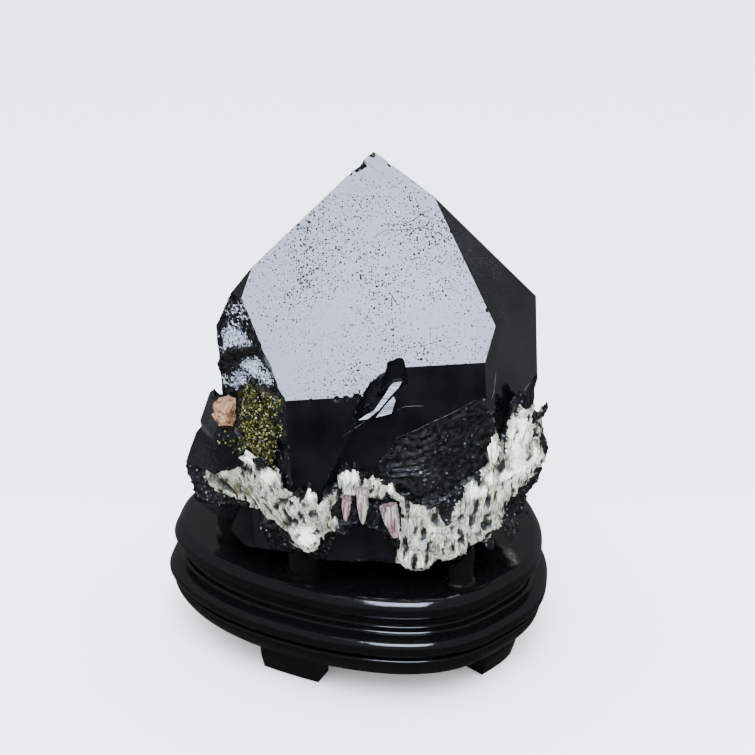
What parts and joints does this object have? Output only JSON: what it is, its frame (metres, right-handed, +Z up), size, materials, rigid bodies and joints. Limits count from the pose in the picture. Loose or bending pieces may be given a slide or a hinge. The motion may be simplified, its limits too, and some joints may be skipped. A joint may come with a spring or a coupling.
{
  "type": "morion quartz specimen on a display stand",
  "caption": "Black morion quartz crystal with white albite round its foot and small pink mica books, resting on pegs on a moulded black lacquered wood stand.",
  "frame": {"origin": "middle of the part's outline, on the surface that the stand's feet rest on", "axes": "+Z up, along the height; -Y towards the viewer, out of the large bright front face; +X to the viewer's right"},
  "size_m": [0.149, 0.1244, 0.1909],
  "materials": {
    "morion": "black glassy crystal faces with fine pits",
    "albite": "white bladed crystals, satin",
    "lepidolite": "pink mica, pearly and striated",
    "feldspar": "salmon cleavage block, dull",
    "green_crust": "olive and gold druse, sparkling",
    "black_lacquer": "black high-gloss lacquer on carved wood"
  },
  "bodies": {
    "root": {"morion_quartz": "morion", "albite_matrix": "albite", "lepidolite_left": "lepidolite", "lepidolite_middle": "lepidolite", "lepidolite_right": "lepidolite", "feldspar_fragment": "feldspar", "green_crust": "green_crust", "stand_deck": "black_lacquer", "stand_moulding": "black_lacquer", "stand_foot_front_left": "black_lacquer", "stand_foot_front_right": "black_lacquer", "stand_foot_back_left": "black_lacquer", "stand_foot_back_right": "black_lacquer", "stand_peg_front_left": "black_lacquer", "stand_peg_front_right": "black_lacquer", "stand_peg_left": "black_lacquer", "stand_peg_back_left": "black_lacquer", "stand_peg_back_right": "black_lacquer"}
  },
  "joints": []
}
